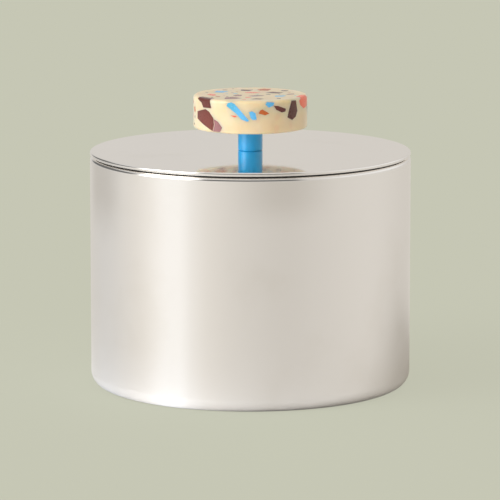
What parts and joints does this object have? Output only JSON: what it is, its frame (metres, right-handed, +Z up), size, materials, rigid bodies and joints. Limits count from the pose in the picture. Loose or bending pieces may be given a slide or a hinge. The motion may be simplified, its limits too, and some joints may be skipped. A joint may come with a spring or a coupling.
{
  "type": "candle tin",
  "caption": "Round mirror-polished candle tin with wax and wicks inside and a flat lift-off lid with a terrazzo knob on a short blue post.",
  "frame": {"origin": "middle of the base, in the plane of the table it stands on", "axes": "+Z up along the tin's axis, -Y towards the front, +X to the right"},
  "size_m": [0.105, 0.105, 0.0957],
  "materials": {
    "polished_steel": "mirror polished",
    "lid_steel": "bright drawn, satin",
    "screw_steel": "zinc plated, satin",
    "tab_steel": "bright tin plate",
    "insert_brass": "turned",
    "blue_enamel": "satin",
    "silicone": "matte",
    "cream_resin": "honed, waxed",
    "chip_maroon": "honed",
    "chip_mauve": "honed",
    "chip_brown": "honed",
    "chip_blue": "honed",
    "chip_orange": "honed",
    "chip_coral": "honed",
    "wax": "soft satin",
    "wick_cotton": "braided",
    "foam_dot": "foam"
  },
  "bodies": {
    "tin": {"tin_body": "polished_steel", "wax_fill": "wax", "wick_1": "wick_cotton", "wick_2": "wick_cotton", "wick_3": "wick_cotton", "wick_tab_1": "tab_steel", "wick_tab_2": "tab_steel", "wick_tab_3": "tab_steel", "wick_sticker_1": "foam_dot", "wick_sticker_2": "foam_dot", "wick_sticker_3": "foam_dot"},
    "lid_seal": {"lid_gasket": "silicone"},
    "lid": {"lid_plate": "polished_steel", "lid_skirt": "lid_steel", "knob_screw": "screw_steel", "knob_washer": "screw_steel", "handle_post": "blue_enamel", "knob_insert": "insert_brass", "knob_disc": "cream_resin", "chips_maroon": "chip_maroon", "chips_mauve": "chip_mauve", "chips_brown": "chip_brown", "chips_blue": "chip_blue", "chips_orange": "chip_orange", "chips_coral": "chip_coral"}
  },
  "joints": [
    {"name": "lid_lift", "type": "slide", "parent": "tin", "child": "lid_seal", "axis": [0, 0, 1], "range_m": [0, 0.07]},
    {"name": "lid_turn", "type": "hinge", "parent": "lid_seal", "child": "lid", "pos_m": [0, 0, 0.0761], "axis": [0, 0, 1], "continuous": true}
  ]
}
